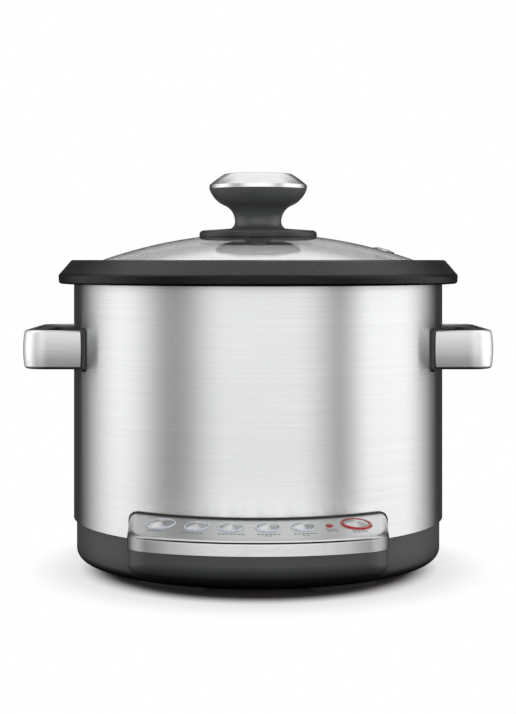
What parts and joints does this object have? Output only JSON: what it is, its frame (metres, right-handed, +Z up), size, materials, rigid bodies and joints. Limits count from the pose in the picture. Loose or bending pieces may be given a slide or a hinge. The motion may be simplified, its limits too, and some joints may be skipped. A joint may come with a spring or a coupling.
{
  "type": "rice cooker",
  "caption": "Round countertop rice cooker: brushed steel wall, dark base, sloping front button panel, side handles, lift-out bowl with a bevelled rim and a domed glass lid.",
  "frame": {"origin": "on the cooker's upright axis at counter level, under the middle of the round body", "axes": "+Z up, the control panel faces -Y, +X to the right seen from the front"},
  "size_m": [0.3416, 0.3304, 0.2909],
  "materials": {
    "base_plastic": "charcoal moulded plastic with a fine texture",
    "black_plastic": "black moulded plastic, satin",
    "knob_plastic": "dark grey phenolic plastic, satin",
    "screw_steel": "plated steel",
    "rubber": "black rubber",
    "pin_brass": "plated brass",
    "brushed_wall": "horizontally brushed stainless steel",
    "handle_steel": "satin stainless steel",
    "liner_aluminium": "pressed aluminium sheet",
    "cast_aluminium": "machined cast aluminium",
    "element_tube": "heat-darkened tube",
    "ceramic": "unglazed white ceramic",
    "circuit_board": "green solder mask",
    "relay_case": "black component case",
    "transformer_core": "varnished laminated core",
    "capacitor_case": "yellow film capacitor case",
    "wire_sleeve": "heat-resistant sleeve",
    "panel_silver": "satin silver",
    "led_epoxy": "clear epoxy",
    "clear_ring": "clear polished plastic",
    "red_ring": "translucent red plastic",
    "button_metal": "satin metallised caps",
    "nonstick": "dark speckled non-stick coating",
    "lid_glass": "tempered glass",
    "band_steel": "polished stainless steel",
    "cap_steel": "satin stainless steel"
  },
  "bodies": {
    "cooker": {"base_housing": "base_plastic", "bottom_cover": "base_plastic", "bottom_cover_screws": "screw_steel", "rubber_feet": "rubber", "power_inlet_housing": "black_plastic", "inlet_pins": "pin_brass", "inlet_screws": "screw_steel", "outer_body_shell": "brushed_wall", "top_collar": "black_plastic", "inner_liner": "liner_aluminium", "heating_plate": "cast_aluminium", "heating_element": "element_tube", "terminal_insulators": "ceramic", "heater_standoffs": "ceramic", "heater_screws": "screw_steel", "thermal_fuse": "screw_steel", "heat_shield": "liner_aluminium", "sensor_housing": "liner_aluminium", "sensor_spring": "screw_steel", "power_board": "circuit_board", "board_screws": "screw_steel", "power_relay": "relay_case", "power_transformer": "transformer_core", "filter_capacitor": "capacitor_case", "internal_wiring": "wire_sleeve", "control_fascia": "panel_silver", "control_board": "circuit_board", "tact_switches": "relay_case", "indicator_leds": "led_epoxy", "function_button_rings": "clear_ring", "start_button_ring": "red_ring", "keep_warm_lens": "red_ring", "handle_screws": "screw_steel", "handle_core_left": "black_plastic", "handle_cover_left": "handle_steel", "handle_collars_left": "black_plastic", "handle_core_right": "black_plastic", "handle_cover_right": "handle_steel", "handle_collars_right": "black_plastic"},
    "bowl": {"cooking_bowl": "nonstick"},
    "lid": {"glass_lid": "lid_glass", "lid_rim_band": "band_steel", "vent_eyelet": "band_steel", "knob_base": "knob_plastic", "knob_grip": "knob_plastic", "knob_cap": "cap_steel", "knob_washer": "rubber", "knob_screw": "screw_steel"},
    "sensor": {"sensor_cap": "cast_aluminium"},
    "start_button": {"start_button": "button_metal"},
    "function_button_1": {"function_button_1": "button_metal"},
    "function_button_2": {"function_button_2": "button_metal"},
    "function_button_3": {"function_button_3": "button_metal"},
    "function_button_4": {"function_button_4": "button_metal"},
    "function_button_5": {"function_button_5": "button_metal"}
  },
  "joints": [
    {"name": "bowl_lift", "type": "slide", "parent": "cooker", "child": "bowl", "axis": [0, 0, 1], "range_m": [0, 0.14]},
    {"name": "lid_lift", "type": "slide", "parent": "bowl", "child": "lid", "axis": [0, 0, 1], "range_m": [0, 0.08]},
    {"name": "sensor_plunge", "type": "slide", "parent": "cooker", "child": "sensor", "axis": [0, 0, 1], "range_m": [-0.002, 0], "stiffness_N_per_m": 400, "springref_m": 0.003, "deforming": ["sensor_spring"]},
    {"name": "function_button_1_press", "type": "slide", "parent": "cooker", "child": "function_button_1", "axis": [0.0651, 0.1422, -0.9877], "range_m": [0, 0.0012], "stiffness_N_per_m": 600, "springref_m": -0.001},
    {"name": "function_button_2_press", "type": "slide", "parent": "cooker", "child": "function_button_2", "axis": [0.0405, 0.1511, -0.9877], "range_m": [0, 0.0012], "stiffness_N_per_m": 600, "springref_m": -0.001},
    {"name": "function_button_3_press", "type": "slide", "parent": "cooker", "child": "function_button_3", "axis": [0.0177, 0.1554, -0.9877], "range_m": [0, 0.0012], "stiffness_N_per_m": 600, "springref_m": -0.001},
    {"name": "function_button_4_press", "type": "slide", "parent": "cooker", "child": "function_button_4", "axis": [-0.0066, 0.1563, -0.9877], "range_m": [0, 0.0012], "stiffness_N_per_m": 600, "springref_m": -0.001},
    {"name": "function_button_5_press", "type": "slide", "parent": "cooker", "child": "function_button_5", "axis": [-0.0298, 0.1536, -0.9877], "range_m": [0, 0.0012], "stiffness_N_per_m": 600, "springref_m": -0.001},
    {"name": "start_button_press", "type": "slide", "parent": "cooker", "child": "start_button", "axis": [-0.0656, 0.142, -0.9877], "range_m": [0, 0.0012], "stiffness_N_per_m": 600, "springref_m": -0.001}
  ]
}
